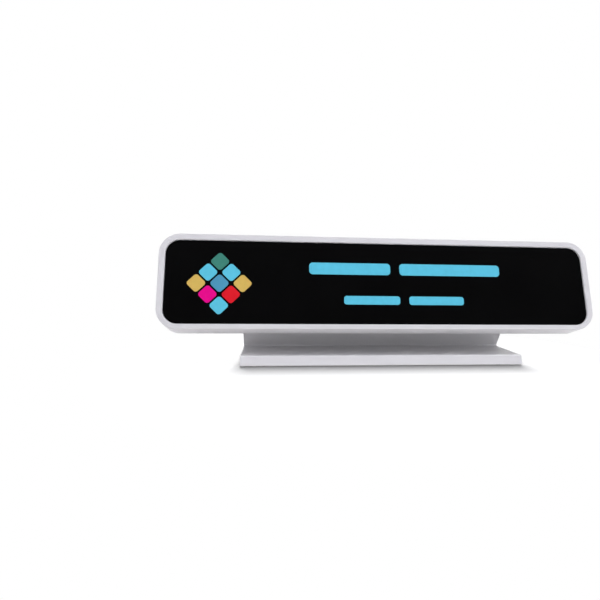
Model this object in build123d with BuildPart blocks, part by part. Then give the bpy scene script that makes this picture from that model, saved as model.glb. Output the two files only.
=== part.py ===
from build123d import *
import os
from math import cos, radians, sin, tan

# Desk name plate: a framed sign plate that leans back on a stand with a Z-shaped section.
# +X runs along the sign, +Y to the back and +Z up. The origin lies on the desk, at the middle
# of the object's outline. Lengths are in millimetres, angles in degrees.

# The frame's pocket, for a sign plate of about 10 by 2 inches, and the insert plate that lies in it
pocket_length = 254.0
pocket_height = 50.0
pocket_corner = 8.4
insert_clearance = 0.25
insert_thickness = 1.6
insert_bevel = 0.2

# Double-sided tape behind the insert
tape_width = 12.7
tape_thickness = 0.8
tape_end_gap = 12.0
tape_edge_gap = 5.0

# Frame: its rim is even on three sides and narrower below
rim_width = 3.6
lower_rim_width = 2.9
rim_radius = 0.4
lip_radius = 0.3
recess = 0.8
frame_depth = 14.3
floor_thickness = 2.0
back_wall = 1.7
back_radius = 0.6
ledge_width = 1.6
rib_thickness = 1.6
rib_count = 4
boss_wall = 2.1

# Back panel
panel_thickness = 2.0
panel_clearance = 0.2
panel_bevel = 0.3

# Stand: a flat foot, a strut that leans forward from its back, and a flange behind the frame
stand_length = 168.0
foot_thickness = 5.5
crease_setback = 37.2
strut_thickness = 5.0
flange_thickness = 4.0
flange_top_gap = 12.0
foot_edge_radius = 0.5
crease_radius = 0.8
flange_radius = 1.2
elbow_radius = 3.0
heel_radius = 3.0
end_bevel = 0.3

# Place of the sign: straight above the foot's upper front edge
sign_lift = 15.6
sign_tilt = 18.5
strut_lean = 35.0

# Pan head screws
screw_radius = 1.5
screw_head_radius = 2.8
screw_head_height = 2.0
screw_head_round = 0.8
screw_end_inset = 25.0
screw_row_share = 0.5
screw_bite_share = 0.85
pilot_clearance = 0.1
hole_clearance = 0.3
driver_length = 3.2
driver_width = 0.8
driver_depth = 1.0

# Foot pads
pad_radius = 5.0
pad_height = 0.8
pad_bevel = 0.3
pad_end_gap = 9.0
pad_edge_gap = 3.0

# How far a cut runs past the face that it starts from
overrun = 1.0

# Sizes that follow from those above
insert_length = pocket_length - 2 * insert_clearance
insert_height = pocket_height - 2 * insert_clearance
insert_corner = pocket_corner - insert_clearance
frame_length = pocket_length + 2 * rim_width
frame_height = pocket_height + rim_width + lower_rim_width
frame_corner = pocket_corner + rim_width
pocket_rise = (lower_rim_width - rim_width) / 2
pocket_depth = recess + insert_thickness + tape_thickness
floor_depth = pocket_depth + floor_thickness
cavity_depth = frame_depth - floor_depth - panel_thickness
cavity_inset = back_wall + ledge_width
cavity_length = frame_length - 2 * cavity_inset
cavity_height = frame_height - 2 * cavity_inset
panel_inset = back_wall + panel_clearance
rib_pitch = cavity_length / (rib_count + 1)
hole_radius = screw_radius + hole_clearance
pilot_radius = screw_radius + pilot_clearance
boss_radius = pilot_radius + boss_wall
tape_length = insert_length - 2 * tape_end_gap
tape_offset = insert_height / 2 - tape_edge_gap - tape_width / 2


def direction(angle):
    """Unit step in the side view, leaning back from upright by an angle."""
    return Vector(sin(radians(angle)), cos(radians(angle)))


def meet(point_a, way_a, point_b, way_b):
    """Where two lines in the side view cross."""
    step = (point_b - point_a).cross(way_b).Z / way_a.cross(way_b).Z
    return point_a + way_a * step


# Side view, as (Y, Z) points. The foot's rounded toe is the foremost point and the stand's
# rounded heel the rearmost. The origin is midway between them.
up_sign = direction(sign_tilt)
into_sign = direction(sign_tilt + 90)
up_strut = direction(-strut_lean)
behind_strut = direction(90 - strut_lean)
along_foot = direction(90)
toe_share = 1 / tan(radians(45 - sign_tilt / 2))
heel_share = 1 / tan(radians(45 - strut_lean / 2))

foot_top = pad_height + foot_thickness
heel_run = (strut_thickness + foot_thickness * behind_strut.Y) / behind_strut.X
toe_run = foot_thickness * tan(radians(sign_tilt))
toe_reach = toe_run - foot_edge_radius * (toe_share - 1)
heel_reach = crease_setback + heel_run - heel_radius * (heel_share - 1)
foot_front = Vector((toe_reach - heel_reach) / 2, foot_top)
toe = foot_front - Vector(toe_run, foot_thickness)
crease = foot_front + Vector(crease_setback, 0)
strut_back = crease + behind_strut * strut_thickness
heel = meet(strut_back, up_strut, toe, along_foot)

sign_corner = foot_front + Vector(0, sign_lift)
sign_middle = sign_corner + up_sign * (frame_height / 2)
back_middle = sign_middle + into_sign * frame_depth
flange_low = meet(crease, up_strut, back_middle, up_sign)
flange_top = back_middle + up_sign * (frame_height / 2 - flange_top_gap)
flange_top_back = flange_top + into_sign * flange_thickness
elbow = meet(strut_back, up_strut, flange_top_back, up_sign)

# The screws stand in two rows about the middle of the flange's flat back
screw_row_pitch = (flange_top_back - elbow).length * screw_row_share
screw_pitch = stand_length - 2 * screw_end_inset
screws_middle = ((flange_top_back + elbow) / 2 - back_middle).dot(up_sign)
screw_bite = cavity_depth * screw_bite_share
screw_length = flange_thickness + panel_thickness + screw_bite

# The sign's own plane: its middle on the frame's front, X along it, normal out of the front
face = Plane(
    origin=(0, sign_middle.X, sign_middle.Y),
    x_dir=(1, 0, 0),
    z_dir=(0, -into_sign.X, -into_sign.Y),
)
face_axis = Axis(face.origin, face.z_dir)
floor_back = face.offset(-floor_depth)
panel_seat = face.offset(panel_thickness - frame_depth)
frame_back = face.offset(-frame_depth)
flange_back = face.offset(-frame_depth - flange_thickness)
screw_places = [
    Location((x, screws_middle + y))
    for x in (-screw_pitch / 2, screw_pitch / 2)
    for y in (-screw_row_pitch / 2, screw_row_pitch / 2)
]


def save(part, name):
    """Label a finished piece and write it under its own name."""
    part.label = name
    export_step(part, f"parts/{name}.step")


os.makedirs("parts", exist_ok=True)

# Frame: moulded surround with the insert's pocket in front and a ribbed hollow behind
with BuildPart() as frame:
    with BuildSketch(face):
        RectangleRounded(frame_length, frame_height, frame_corner)
    extrude(amount=-frame_depth)
    fillet(frame.edges().group_by(face_axis)[-1], rim_radius)
    fillet(frame.edges().group_by(face_axis)[0], back_radius)

    with BuildSketch(face):
        with Locations((0, pocket_rise)):
            RectangleRounded(pocket_length, pocket_height, pocket_corner)
    extrude(amount=-pocket_depth, mode=Mode.SUBTRACT)
    lip = frame.faces().sort_by(face_axis)[-1].inner_wires()[0]
    fillet(lip.edges(), lip_radius)

    with BuildSketch(frame_back):
        RectangleRounded(
            frame_length - 2 * back_wall,
            frame_height - 2 * back_wall,
            frame_corner - back_wall,
        )
    extrude(amount=panel_thickness, mode=Mode.SUBTRACT)
    with BuildSketch(panel_seat):
        RectangleRounded(cavity_length, cavity_height, frame_corner - cavity_inset)
    extrude(amount=cavity_depth, mode=Mode.SUBTRACT)

    with BuildSketch(floor_back):
        with GridLocations(rib_pitch, 0, rib_count, 1):
            Rectangle(rib_thickness, cavity_height)
        with Locations(*screw_places):
            Circle(boss_radius)
    extrude(amount=-cavity_depth)
    with BuildSketch(panel_seat):
        with Locations(*screw_places):
            Circle(pilot_radius)
    extrude(amount=cavity_depth, mode=Mode.SUBTRACT)
save(frame.part, "frame")

# Insert plate: thin sheet with a small bevel round its front
with BuildPart() as insert_plate:
    with BuildSketch(face.offset(-recess)):
        with Locations((0, pocket_rise)):
            RectangleRounded(insert_length, insert_height, insert_corner)
    extrude(amount=-insert_thickness)
    chamfer(insert_plate.edges().group_by(face_axis)[-1], insert_bevel)
save(insert_plate.part, "insert_plate")

# Tape: two strips between the insert and the pocket's floor
for tape_name, tape_middle in (
    ("insert_tape_upper", tape_offset),
    ("insert_tape_lower", -tape_offset),
):
    with BuildPart() as tape:
        with BuildSketch(face.offset(-pocket_depth)):
            with Locations((0, pocket_rise + tape_middle)):
                Rectangle(tape_length, tape_width)
        extrude(amount=tape_thickness)
    save(tape.part, tape_name)

# Back panel: closes the hollow, flush with the frame's back
with BuildPart() as back_panel:
    with BuildSketch(frame_back):
        RectangleRounded(
            frame_length - 2 * panel_inset,
            frame_height - 2 * panel_inset,
            frame_corner - panel_inset,
        )
        with Locations(*screw_places):
            Circle(hole_radius, mode=Mode.SUBTRACT)
    extrude(amount=panel_thickness)
    panel_outline = back_panel.faces().sort_by(face_axis)[0].outer_wire()
    chamfer(panel_outline.edges(), panel_bevel)
save(back_panel.part, "back_panel")

# Stand: one constant section with square-cut ends, and screw holes through its flange
with BuildPart() as stand:
    with BuildSketch(Plane.YZ):
        with BuildLine():
            FilletPolyline(
                toe, foot_front, crease, flange_low, flange_top, flange_top_back, elbow, heel,
                radius=[
                    foot_edge_radius, foot_edge_radius, crease_radius, flange_radius,
                    flange_radius, flange_radius, elbow_radius, heel_radius,
                ],
                close=True,
            )
        make_face()
    extrude(amount=stand_length / 2, both=True)
    chamfer(stand.faces().filter_by(Axis.X).edges(), end_bevel)
    with BuildSketch(flange_back.offset(-overrun)):
        with Locations(*screw_places):
            Circle(hole_radius)
    extrude(amount=flange_thickness + 2 * overrun, mode=Mode.SUBTRACT)
save(stand.part, "stand")

# Stand screws: pan heads with a cross slot, seated on the flange
with BuildPart() as stand_screws:
    with BuildSketch(flange_back):
        with Locations(*screw_places):
            Circle(screw_head_radius)
    extrude(amount=-screw_head_height)
    fillet(stand_screws.edges().group_by(face_axis)[0], screw_head_round)
    with BuildSketch(flange_back):
        with Locations(*screw_places):
            Circle(screw_radius)
    extrude(amount=screw_length)
    with BuildSketch(flange_back.offset(-screw_head_height)):
        with Locations(*screw_places):
            Rectangle(driver_length, driver_width)
            Rectangle(driver_width, driver_length)
    extrude(amount=driver_depth, mode=Mode.SUBTRACT)
save(stand_screws.part, "stand_screws")

# Foot pads: thin rubber discs under the corners of the foot's flat underside
pad_side = stand_length / 2 - pad_end_gap - pad_radius
pad_front = toe.X + foot_edge_radius * toe_share + pad_edge_gap + pad_radius
pad_rear = heel.X - heel_radius * heel_share - pad_edge_gap - pad_radius
for pad_name, pad_x, pad_y in (
    ("foot_pad_front_left", -pad_side, pad_front),
    ("foot_pad_front_right", pad_side, pad_front),
    ("foot_pad_rear_left", -pad_side, pad_rear),
    ("foot_pad_rear_right", pad_side, pad_rear),
):
    with BuildPart() as pad:
        with BuildSketch(Plane.XY):
            with Locations((pad_x, pad_y)):
                Circle(pad_radius)
        extrude(amount=pad_height)
        chamfer(pad.edges().group_by(Axis.Z)[0], pad_bevel)
    save(pad.part, pad_name)
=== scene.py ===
"""Looks of the desk name plate: its materials, the colour print on its plate, the studio and the camera."""

import math
from collections import namedtuple

import bmesh
import bpy
from mathutils import Matrix, Vector


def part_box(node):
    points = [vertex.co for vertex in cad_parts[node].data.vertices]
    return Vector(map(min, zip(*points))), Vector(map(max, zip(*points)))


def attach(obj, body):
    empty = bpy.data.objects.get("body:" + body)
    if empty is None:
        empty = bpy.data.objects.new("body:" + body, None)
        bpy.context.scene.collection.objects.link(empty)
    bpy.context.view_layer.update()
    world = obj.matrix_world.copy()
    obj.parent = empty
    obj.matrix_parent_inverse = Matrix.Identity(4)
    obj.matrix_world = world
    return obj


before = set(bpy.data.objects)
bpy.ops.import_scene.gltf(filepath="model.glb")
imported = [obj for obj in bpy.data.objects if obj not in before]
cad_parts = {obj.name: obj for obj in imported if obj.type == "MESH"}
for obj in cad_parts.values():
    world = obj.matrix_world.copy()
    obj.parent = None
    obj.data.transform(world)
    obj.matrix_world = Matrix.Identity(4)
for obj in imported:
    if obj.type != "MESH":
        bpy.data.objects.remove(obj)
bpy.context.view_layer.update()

MM = 0.001


def srgb(red, green, blue):
    """Linear colour, with alpha, of a colour given in 0 to 255, by the sRGB curve."""
    def linear(value):
        share = value / 255
        return share / 12.92 if share <= 0.04045 else ((share + 0.055) / 1.055) ** 2.4
    return (linear(red), linear(green), linear(blue), 1.0)


# Camera, fitted to the outlines in the photo: pixels of the 600 by 600 image, metres and degrees
PHOTO_WIDTH_PX = 600
FOCAL_PX = 519.406
PRINCIPAL_PX = (340.0, 315.0)
SENSOR_MM = 36.0
CLIP_START = 0.01
CAMERA_PLACE = Vector((-62.168, -316.855, 59.603)) * MM
CAMERA_YAW = 6.773
CAMERA_PITCH = 5.664
CAMERA_ROLL = -0.971

# Colours of the finishes. A pair is the darker and the lighter tone of one finish
WHITE_PLASTIC = srgb(223, 222, 222)
PANEL_WHITE = srgb(214, 214, 217)
LAMINATE_TONES = ((0.0008, 0.0008, 0.0009, 1.0), (0.0016, 0.0016, 0.0017, 1.0))
FOAM_TONES = ((0.6, 0.6, 0.58, 1.0), (0.74, 0.74, 0.71, 1.0))
RUBBER_TONES = ((0.016, 0.016, 0.016, 1.0), (0.034, 0.034, 0.033, 1.0))
ZINC_TONES = ((0.38, 0.39, 0.41, 1.0), (0.5, 0.5, 0.5, 1.0))
ZINC_EDGE = (0.62, 0.62, 0.62, 1.0)
INKS = {
    "red": srgb(227, 27, 41),
    "magenta": srgb(238, 0, 141),
    "gold": srgb(220, 186, 95),
    "teal": srgb(64, 134, 118),
    "steel_blue": srgb(79, 154, 187),
    "light_blue": srgb(96, 202, 227),
}

# Along the moulded plastic's edges: how far its colour turns lighter, a painted highlight, and how much
# smoother it gets from wear
EDGE_PAINTED_HIGHLIGHT = 0.35
EDGE_POLISH = 0.05

# Specks of foam or rubber across one patch of even gloss
SPECKS_PER_PATCH = 6

# Noise is mostly within this range, and runs alike along all axes unless it is stretched
NOISE_LOW = 0.3
NOISE_HIGH = 0.7
NO_STRETCH = (1.0, 1.0, 1.0)

# Sockets of the Mix node for colours, by number because its forms share their names
MIX_FACTOR = 0
MIX_FIRST = 6
MIX_SECOND = 7
MIX_RESULT = 2

# Print on the plate, in metres across and up from the middle of the plate's front
INK_THICKNESS = 0.08 * MM
INK_SINK = 0.02 * MM
CORNER_STEPS = 8
EMBLEM_PLACE = Vector((-96.0, -1.0)) * MM
TILE_SIDE = 8.2 * MM
TILE_CORNER = 1.7 * MM
TILE_PITCH = 9.3 * MM
TILE_TURN = 45.0
TILE_COLOURS = (
    ("gold", "light_blue", "teal"),
    ("magenta", "steel_blue", "light_blue"),
    ("light_blue", "red", "gold"),
)
BarRow = namedtuple("BarRow", "start end up height split_share")
NAME_BARS = BarRow(start=-44.4 * MM, end=72.6 * MM, up=8.8 * MM, height=7.2 * MM, split_share=0.44)
TITLE_BARS = BarRow(start=-24.0 * MM, end=48.7 * MM, up=-10.4 * MM, height=5.2 * MM, split_share=0.5)
BAR_GAP = 5.6 * MM
BAR_CORNER_SHARE = 0.3

# A face of the plate belongs to its front where the Y of its normal is below this
FRONT_NORMAL_Y = -0.5

# Studio. A softbox's azimuth is counted from straight in front to the right, and its sizes are in metres
WHITE = (1.0, 1.0, 1.0, 1.0)
BACKDROP_LEVEL = 1.0
FLOOR_SIZE = 6.0
FLOOR_COLOUR = (0.9, 0.885, 0.86, 1.0)
FLOOR_SEEN_COLOUR = (0.15, 0.15, 0.15, 1.0)
FLOOR_GLOW = 0.17
FLOOR_FADE_START = 0.11
FLOOR_FADE_END = 0.17
LAMP_COLOUR = (0.953, 0.956, 1.03)
SKY_LEVEL = 0.39
Softbox = namedtuple("Softbox", "azimuth elevation distance width height watts")
SOFTBOXES = {
    "left_softbox": Softbox(azimuth=-70.0, elevation=63.0, distance=1.2, width=0.4, height=0.4, watts=5.8),
    "right_softbox": Softbox(azimuth=70.0, elevation=63.0, distance=1.2, width=0.4, height=0.4, watts=3.95),
}
FILLS = {
    "right_fill": Softbox(azimuth=70.0, elevation=9.0, distance=1.2, width=1.2, height=0.36, watts=3.0),
    "rear_fill": Softbox(azimuth=180.0, elevation=6.0, distance=1.2, width=0.4, height=0.2, watts=2.2),
}
FLOOR_SOFTBOX = Softbox(azimuth=180.0, elevation=55.0, distance=5.0, width=1.1, height=1.29, watts=1570.0)


# Helpers

def add_object(name, data):
    """Puts a mesh, lamp or camera into the scene."""
    made = bpy.data.objects.new(name, data)
    bpy.context.scene.collection.objects.link(made)
    return made


def axes_at(place, x_axis, y_axis, z_axis):
    """Matrix with these three axes at a place."""
    return Matrix.Translation(place) @ Matrix((x_axis, y_axis, z_axis)).transposed().to_4x4()


def add_node(tree, kind, inputs=None, **settings):
    """Adds a shader node, sets its properties, and sets or links its inputs."""
    made = tree.nodes.new(kind)
    for key, value in settings.items():
        setattr(made, key, value)
    for key, value in (inputs or {}).items():
        if isinstance(value, bpy.types.NodeSocket):
            tree.links.new(value, made.inputs[key])
        else:
            made.inputs[key].default_value = value
    return made


def new_material(name):
    """A material and its node tree, which is empty."""
    material = bpy.data.materials.new(name)
    material.use_nodes = True
    material.node_tree.nodes.clear()
    return material, material.node_tree


def add_surface(tree, inputs):
    """Ends a material's tree in a Principled shader with these inputs."""
    shader = add_node(tree, "ShaderNodeBsdfPrincipled", inputs)
    add_node(tree, "ShaderNodeOutputMaterial", {"Surface": shader.outputs["BSDF"]})


def noise(tree, features_per_metre, detail, stretch=NO_STRETCH):
    """Noise from 0 to 1 in the part's own frame. Stretch above 1 draws it out along that axis."""
    place = add_node(tree, "ShaderNodeTexCoord").outputs["Object"]
    squeeze = tuple(1 / s for s in stretch)
    place = add_node(tree, "ShaderNodeMapping", {"Vector": place, "Scale": squeeze}).outputs["Vector"]
    inputs = {"Vector": place, "Scale": features_per_metre, "Detail": detail}
    return add_node(tree, "ShaderNodeTexNoise", inputs).outputs["Fac"]


def spread(tree, value, low=0.0, high=1.0, start=NOISE_LOW, end=NOISE_HIGH):
    """Maps a value between start and end to low and high, held at both ends."""
    inputs = {"Value": value, "From Min": start, "From Max": end, "To Min": low, "To Max": high}
    return add_node(tree, "ShaderNodeMapRange", inputs).outputs["Result"]


def math_node(tree, operation, first, second):
    """Result of one operation on two numbers."""
    return add_node(tree, "ShaderNodeMath", {0: first, 1: second}, operation=operation).outputs["Value"]


def mix_colour(tree, factor, first, second):
    """Blends from the first colour, at a factor of 0, to the second, at 1."""
    inputs = {MIX_FACTOR: factor, MIX_FIRST: first, MIX_SECOND: second}
    return add_node(tree, "ShaderNodeMix", inputs, data_type="RGBA").outputs[MIX_RESULT]


def scaled(colour, share):
    """A colour made darker or lighter by a share."""
    return tuple(c * share for c in colour[:3]) + (1.0,)


def edge_mask(tree, radius):
    """Rises from 0 on flat faces to 1 along edges and tight bends."""
    bent = add_node(tree, "ShaderNodeBevel", {"Radius": radius}, samples=6).outputs["Normal"]
    flat = add_node(tree, "ShaderNodeNewGeometry").outputs["True Normal"]
    match = add_node(tree, "ShaderNodeVectorMath", {0: bent, 1: flat}, operation="DOT_PRODUCT")
    return spread(tree, match.outputs["Value"], low=1.0, high=0.0, start=0.75, end=0.995)


def bump(tree, height, strength, depth):
    """Normal of a surface with this height map."""
    inputs = {"Height": height, "Strength": strength, "Distance": depth}
    return add_node(tree, "ShaderNodeBump", inputs).outputs["Normal"]


# Materials. A roughness is a pair, of the glossiest and the dullest places

def moulded_plastic(name, colour, roughness, grain, stretch=NO_STRETCH):
    """Moulded plastic: fine grain, uneven gloss, a faint drift of colour, and edges smoother from wear and
    lighter in colour, a painted highlight.
    """
    material, tree = new_material(name)
    drift = spread(tree, noise(tree, features_per_metre=22, detail=3.0))
    clean = mix_colour(tree, drift, scaled(colour, share=0.982), colour)
    edges = edge_mask(tree, radius=0.5 * MM)
    # The lighter colour along the edges is a painted highlight; the lower roughness there is wear
    painted_edge_highlight = math_node(tree, "MULTIPLY", edges, EDGE_PAINTED_HIGHLIGHT)
    polished = math_node(tree, "MULTIPLY", edges, EDGE_POLISH)
    smudges = spread(tree, noise(tree, features_per_metre=55, detail=4.0), *roughness)
    fine = noise(tree, features_per_metre=1 / grain, detail=3.0, stretch=stretch)
    add_surface(tree, {
        "Base Color": mix_colour(tree, painted_edge_highlight, clean, scaled(colour, share=1.06)),
        "Roughness": math_node(tree, "SUBTRACT", smudges, polished),
        "Specular IOR Level": 0.15,
        "Normal": bump(tree, fine, strength=0.12, depth=0.05 * MM),
    })
    return material


def black_laminate(name):
    """Satin black sign laminate with a fine matte texture and faint wipe marks along its length."""
    material, tree = new_material(name)
    drift = spread(tree, noise(tree, features_per_metre=30, detail=3.0))
    wipes = noise(tree, features_per_metre=900, detail=3.0, stretch=(30.0, 1.0, 1.0))
    texture = noise(tree, features_per_metre=5000, detail=2.0)
    add_surface(tree, {
        "Base Color": mix_colour(tree, drift, *LAMINATE_TONES),
        "Roughness": spread(tree, wipes, low=0.46, high=0.58),
        "Specular IOR Level": 0.02,
        "Normal": bump(tree, texture, strength=0.08, depth=0.03 * MM),
    })
    return material


def printed_ink(name, colour):
    """Flat sign ink: a little uneven in density, with a fine matte grain."""
    material, tree = new_material(name)
    density = spread(tree, noise(tree, features_per_metre=400, detail=4.0))
    gloss = noise(tree, features_per_metre=1500, detail=2.0)
    grain = noise(tree, features_per_metre=6000, detail=2.0)
    add_surface(tree, {
        "Base Color": mix_colour(tree, density, scaled(colour, share=0.95), scaled(colour, share=1.02)),
        "Roughness": spread(tree, gloss, low=0.42, high=0.56),
        "Specular IOR Level": 0.1,
        "Normal": bump(tree, grain, strength=0.1, depth=0.02 * MM),
    })
    return material


def zinc_plate(name):
    """Bright zinc on steel, brushed by tumbling, with duller patches and bright edges."""
    material, tree = new_material(name)
    patches = spread(tree, noise(tree, features_per_metre=700, detail=4.0))
    edges = edge_mask(tree, radius=0.2 * MM)
    plated = mix_colour(tree, patches, *ZINC_TONES)
    gloss = noise(tree, features_per_metre=2500, detail=3.0)
    scratches = noise(tree, features_per_metre=6000, detail=3.0)
    add_surface(tree, {
        "Base Color": mix_colour(tree, edges, plated, ZINC_EDGE),
        "Metallic": 1.0,
        "Roughness": spread(tree, gloss, low=0.24, high=0.4),
        "Normal": bump(tree, scratches, strength=0.15, depth=0.02 * MM),
    })
    return material


def grainy(name, tones, roughness, specks_per_metre, depth):
    """Dull rubber or foam: two tones in small specks, and a rough surface."""
    material, tree = new_material(name)
    specks = noise(tree, specks_per_metre, detail=4.0)
    gloss = noise(tree, specks_per_metre / SPECKS_PER_PATCH, detail=3.0)
    add_surface(tree, {
        "Base Color": mix_colour(tree, spread(tree, specks), *tones),
        "Roughness": spread(tree, gloss, *roughness),
        "Specular IOR Level": 0.3,
        "Normal": bump(tree, specks, strength=0.35, depth=depth),
    })
    return material


def dress_nodes():
    """Gives every node of the frame its material."""
    frame_plastic = moulded_plastic("frame_plastic", WHITE_PLASTIC, roughness=(0.51, 0.62), grain=0.28 * MM)
    stand_plastic = moulded_plastic(
        "stand_plastic", WHITE_PLASTIC, roughness=(0.29, 0.4), grain=0.24 * MM, stretch=(40.0, 1.0, 1.0))
    panel_plastic = moulded_plastic("panel_plastic", PANEL_WHITE, roughness=(0.5, 0.61), grain=0.4 * MM)
    foam = grainy("foam_tape", FOAM_TONES, roughness=(0.77, 0.91), specks_per_metre=2500, depth=0.1 * MM)
    rubber = grainy(
        "pad_rubber", RUBBER_TONES, roughness=(0.7, 0.84), specks_per_metre=3000, depth=0.06 * MM)
    finishes = {
        "frame": frame_plastic,
        "stand": stand_plastic,
        "back_panel": panel_plastic,
        "insert_plate": black_laminate("black_laminate"),
        "insert_tape_upper": foam,
        "insert_tape_lower": foam,
        "stand_screws": zinc_plate("zinc_plate"),
        "foot_pad_front_left": rubber,
        "foot_pad_front_right": rubber,
        "foot_pad_rear_left": rubber,
        "foot_pad_rear_right": rubber,
    }
    for name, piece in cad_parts.items():
        piece.data.materials.clear()
        piece.data.materials.append(finishes[name])


# Print on the plate

def plate_front():
    """Matrix of the plate's front, from its middle: X along the plate, Y up it and Z out of it."""
    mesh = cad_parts["insert_plate"].data
    out = Vector()
    for face in mesh.polygons:
        if face.normal.y < FRONT_NORMAL_Y:
            out += face.normal * face.area
    out.normalize()
    low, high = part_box("insert_plate")
    middle = (low + high) / 2
    half_thickness = max((v.co - middle).dot(out) for v in mesh.vertices)
    along = Vector((1.0, 0.0, 0.0))
    return axes_at(middle + out * half_thickness, along, out.cross(along), out)


def rounded_rectangle(middle, width, height, corner, turn=0.0):
    """Points of a round-cornered rectangle, anticlockwise, turned about its middle by degrees."""
    points = []
    turned = Matrix.Rotation(math.radians(turn), 2)
    for quarter, (side, top) in enumerate(((1, 1), (-1, 1), (-1, -1), (1, -1))):
        centre = Vector((side * (width / 2 - corner), top * (height / 2 - corner)))
        for step in range(CORNER_STEPS + 1):
            angle = math.pi / 2 * (quarter + step / CORNER_STEPS)
            point = centre + corner * Vector((math.cos(angle), math.sin(angle)))
            points.append(middle + turned @ point)
    return points


def print_piece(name, shapes, inks):
    """One thin layer of ink on the plate: closed flat shapes, each in the ink of its number."""
    mesh = bmesh.new()
    for outline, ink in shapes:
        lower = [mesh.verts.new((p.x, p.y, -INK_SINK)) for p in outline]
        upper = [mesh.verts.new((p.x, p.y, INK_THICKNESS)) for p in outline]
        faces = [mesh.faces.new(upper), mesh.faces.new(lower[::-1])]
        for i, point in enumerate(lower):
            j = (i + 1) % len(lower)
            faces.append(mesh.faces.new((point, lower[j], upper[j], upper[i])))
        for face in faces:
            face.material_index = ink
    mesh.transform(plate_front())
    data = bpy.data.meshes.new(name)
    mesh.to_mesh(data)
    mesh.free()
    for ink in inks:
        data.materials.append(ink)
    piece = add_object(name, data)
    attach(piece, "root")


def print_emblem(inks):
    """Mosaic of nine round-cornered diamonds."""
    names = list(inks)
    middle_row = (len(TILE_COLOURS) - 1) / 2
    turned = Matrix.Rotation(math.radians(TILE_TURN), 2)
    shapes = []
    for row, colours in enumerate(TILE_COLOURS):
        for column, colour in enumerate(colours):
            place = EMBLEM_PLACE + turned @ (TILE_PITCH * Vector((column - middle_row, middle_row - row)))
            outline = rounded_rectangle(place, TILE_SIDE, TILE_SIDE, TILE_CORNER, TILE_TURN)
            shapes.append((outline, names.index(colour)))
    print_piece("print_emblem", shapes, list(inks.values()))


def print_bars(name, row, ink):
    """Two round-cornered bars side by side, in one ink."""
    split = row.start + (row.end - row.start) * row.split_share
    shapes = []
    for start, end in ((row.start, split - BAR_GAP / 2), (split + BAR_GAP / 2, row.end)):
        middle = Vector(((start + end) / 2, row.up))
        outline = rounded_rectangle(middle, end - start, row.height, row.height * BAR_CORNER_SHARE)
        shapes.append((outline, 0))
    print_piece(name, shapes, [ink])


# Studio

def shown_rays(tree):
    """1 for rays that show the background: from the camera, in reflections and through clear pieces."""
    path = add_node(tree, "ShaderNodeLightPath").outputs
    mirrored = math_node(tree, "MAXIMUM", path["Is Glossy Ray"], path["Is Transmission Ray"])
    return math_node(tree, "MAXIMUM", path["Is Camera Ray"], mirrored)


def shade_world():
    """White for the camera and reflections, and an even soft light."""
    world = bpy.data.worlds.new("studio")
    bpy.context.scene.world = world
    world.use_nodes = True
    tree = world.node_tree
    tree.nodes.clear()
    sky_inputs = {"Color": LAMP_COLOUR + (1.0,), "Strength": SKY_LEVEL}
    sky = add_node(tree, "ShaderNodeBackground", sky_inputs).outputs["Background"]
    backdrop_inputs = {"Color": WHITE, "Strength": BACKDROP_LEVEL}
    backdrop = add_node(tree, "ShaderNodeBackground", backdrop_inputs).outputs["Background"]
    mixed = add_node(tree, "ShaderNodeMixShader", {0: shown_rays(tree), 1: sky, 2: backdrop})
    add_node(tree, "ShaderNodeOutputWorld", {"Surface": mixed.outputs["Shader"]})


def floor_paper():
    """White paper that keeps the object's shadow, ends in the plain backdrop and is clear from below."""
    material, tree = new_material("floor_paper")
    seen = add_node(tree, "ShaderNodeLightPath").outputs["Is Camera Ray"]
    colour = mix_colour(tree, seen, FLOOR_COLOUR, FLOOR_SEEN_COLOUR)
    matte = add_node(tree, "ShaderNodeBsdfDiffuse", {"Color": colour}).outputs["BSDF"]
    level = math_node(tree, "MULTIPLY", seen, FLOOR_GLOW)
    glow = add_node(tree, "ShaderNodeEmission", {"Color": WHITE, "Strength": level}).outputs["Emission"]
    paper = add_node(tree, "ShaderNodeAddShader", {0: matte, 1: glow}).outputs["Shader"]
    place = add_node(tree, "ShaderNodeTexCoord").outputs["Object"]
    distance = add_node(tree, "ShaderNodeVectorMath", {0: place}, operation="LENGTH").outputs["Value"]
    far = spread(tree, distance, start=FLOOR_FADE_START, end=FLOOR_FADE_END)
    fade = math_node(tree, "MULTIPLY", far, shown_rays(tree))
    backdrop_inputs = {"Color": WHITE, "Strength": BACKDROP_LEVEL}
    backdrop = add_node(tree, "ShaderNodeEmission", backdrop_inputs).outputs["Emission"]
    above = add_node(tree, "ShaderNodeMixShader", {0: fade, 1: paper, 2: backdrop}).outputs["Shader"]
    below = add_node(tree, "ShaderNodeNewGeometry").outputs["Backfacing"]
    clear = add_node(tree, "ShaderNodeBsdfTransparent").outputs["BSDF"]
    mixed = add_node(tree, "ShaderNodeMixShader", {0: below, 1: above, 2: clear}).outputs["Shader"]
    add_node(tree, "ShaderNodeOutputMaterial", {"Surface": mixed})
    return material


def build_floor():
    """Square floor under the object."""
    half = FLOOR_SIZE / 2
    corners = [(-half, -half, 0), (half, -half, 0), (half, half, 0), (-half, half, 0)]
    mesh = bpy.data.meshes.new("floor")
    mesh.from_pydata(corners, [], [(0, 1, 2, 3)])
    mesh.materials.append(floor_paper())
    floor = add_object("floor", mesh)
    return floor


def add_softbox(name, box):
    """Area lamp aimed at the object."""
    side = math.radians(box.azimuth)
    rise = math.radians(box.elevation)
    away = Vector((math.sin(side) * math.cos(rise), -math.cos(side) * math.cos(rise), math.sin(rise)))
    lamp = bpy.data.lights.new(name, "AREA")
    lamp.shape = "RECTANGLE"
    lamp.size = box.width
    lamp.size_y = box.height
    lamp.energy = box.watts
    lamp.color = LAMP_COLOUR
    softbox = add_object(name, lamp)
    softbox.location = away * box.distance
    softbox.rotation_mode = "QUATERNION"
    softbox.rotation_quaternion = (-away).to_track_quat("-Z", "Y")
    softbox.visible_camera = False
    return softbox


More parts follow.
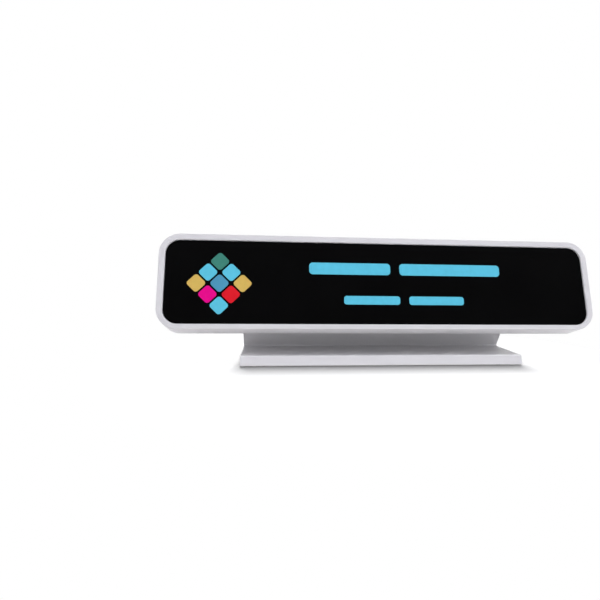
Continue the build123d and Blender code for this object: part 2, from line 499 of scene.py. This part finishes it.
def group(name, pieces):
    """Collection of pieces, for a lamp's links."""
    made = bpy.data.collections.new(name)
    for piece in pieces:
        made.objects.link(piece)
    return made


def build_lights(floor):
    """Softboxes above the object on both sides, low fills that reflections don't show, and a floor lamp.

    The last one lights the floor alone: it whitens what the camera sees of it and gives the short shadow
    in front of the stand.
    """
    for name, box in SOFTBOXES.items():
        add_softbox(name, box)
    for name, box in FILLS.items():
        add_softbox(name, box).visible_glossy = False
    floor_softbox = add_softbox("floor_softbox", FLOOR_SOFTBOX)
    floor_softbox.data.color = WHITE[:3]
    floor_softbox.data.cycles.max_bounces = 0
    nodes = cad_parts
    casting = [nodes[name] for name in nodes if name == "stand" or name.startswith("foot_pad")]
    floor_softbox.light_linking.receiver_collection = group("floor_lit", [floor])
    floor_softbox.light_linking.blocker_collection = group("floor_shadow", casting)


def build_camera():
    """Camera at the photo's place, with the photo's focal length and middle of view."""
    camera = bpy.data.cameras.new("photo_camera")
    camera.sensor_width = SENSOR_MM
    camera.lens = FOCAL_PX / PHOTO_WIDTH_PX * SENSOR_MM
    camera.shift_x = 0.5 - PRINCIPAL_PX[0] / PHOTO_WIDTH_PX
    camera.shift_y = PRINCIPAL_PX[1] / PHOTO_WIDTH_PX - 0.5
    camera.clip_start = CLIP_START
    yaw, pitch, roll = (math.radians(a) for a in (CAMERA_YAW, CAMERA_PITCH, CAMERA_ROLL))
    ahead = Vector((math.sin(yaw) * math.cos(pitch), math.cos(yaw) * math.cos(pitch), -math.sin(pitch)))
    level_right = Vector((math.cos(yaw), -math.sin(yaw), 0.0))
    right = Matrix.Rotation(roll, 3, ahead) @ level_right
    stand = add_object("photo_camera", camera)
    stand.matrix_world = axes_at(CAMERA_PLACE, right, right.cross(ahead), -ahead)
    bpy.context.scene.camera = stand


bpy.context.scene.view_settings.view_transform = "Standard"
dress_nodes()
ink_materials = {name: printed_ink("ink_" + name, colour) for name, colour in INKS.items()}
print_emblem(ink_materials)
print_bars("print_name_bars", NAME_BARS, ink_materials["light_blue"])
print_bars("print_title_bars", TITLE_BARS, ink_materials["light_blue"])
shade_world()
build_lights(build_floor())
build_camera()
